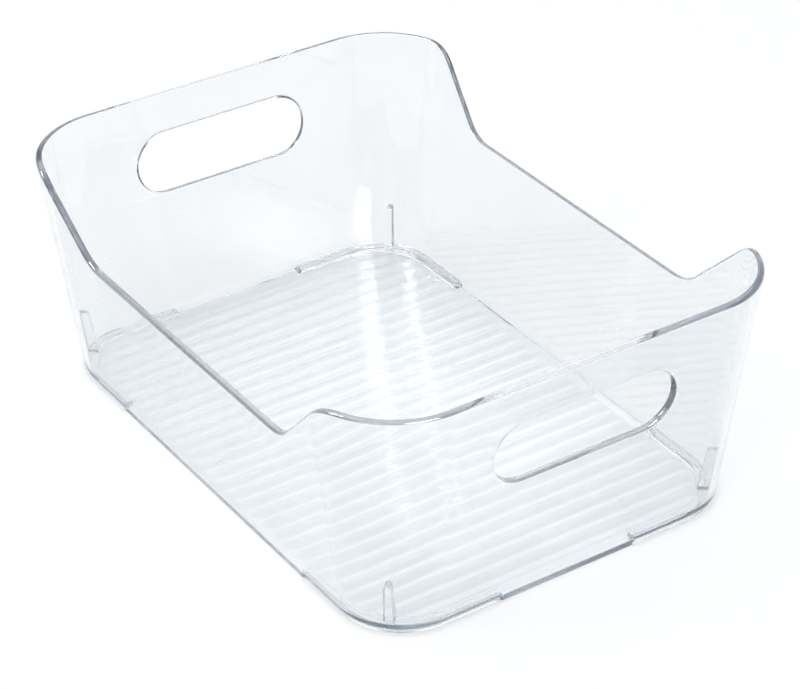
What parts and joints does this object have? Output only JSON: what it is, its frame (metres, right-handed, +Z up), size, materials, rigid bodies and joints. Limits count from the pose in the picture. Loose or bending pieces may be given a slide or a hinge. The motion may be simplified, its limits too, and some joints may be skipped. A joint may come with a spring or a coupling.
{
  "type": "fridge storage box",
  "caption": "Clear open-topped fridge bin with tapered walls, low sides, tall ends with hand holes, a ridged floor and stepped, ribbed corners.",
  "frame": {"origin": "middle of the base, on the surface the box stands on", "axes": "+X across the width, +Y along the length towards the back end, +Z up"},
  "size_m": [0.203, 0.2752, 0.1058],
  "materials": {
    "clear_plastic": "clear, colourless, polished moulding with a faint cool tint at its edges"
  },
  "bodies": {
    "root": {"floor_panel": "clear_plastic", "front_end_wall": "clear_plastic", "back_end_wall": "clear_plastic", "left_side_wall": "clear_plastic", "right_side_wall": "clear_plastic", "front_left_corner_wall": "clear_plastic", "front_right_corner_wall": "clear_plastic", "back_left_corner_wall": "clear_plastic", "back_right_corner_wall": "clear_plastic", "front_left_step": "clear_plastic", "front_right_step": "clear_plastic", "back_left_step": "clear_plastic", "back_right_step": "clear_plastic", "front_left_stacking_rib": "clear_plastic", "front_right_stacking_rib": "clear_plastic", "back_left_stacking_rib": "clear_plastic", "back_right_stacking_rib": "clear_plastic"}
  },
  "joints": []
}
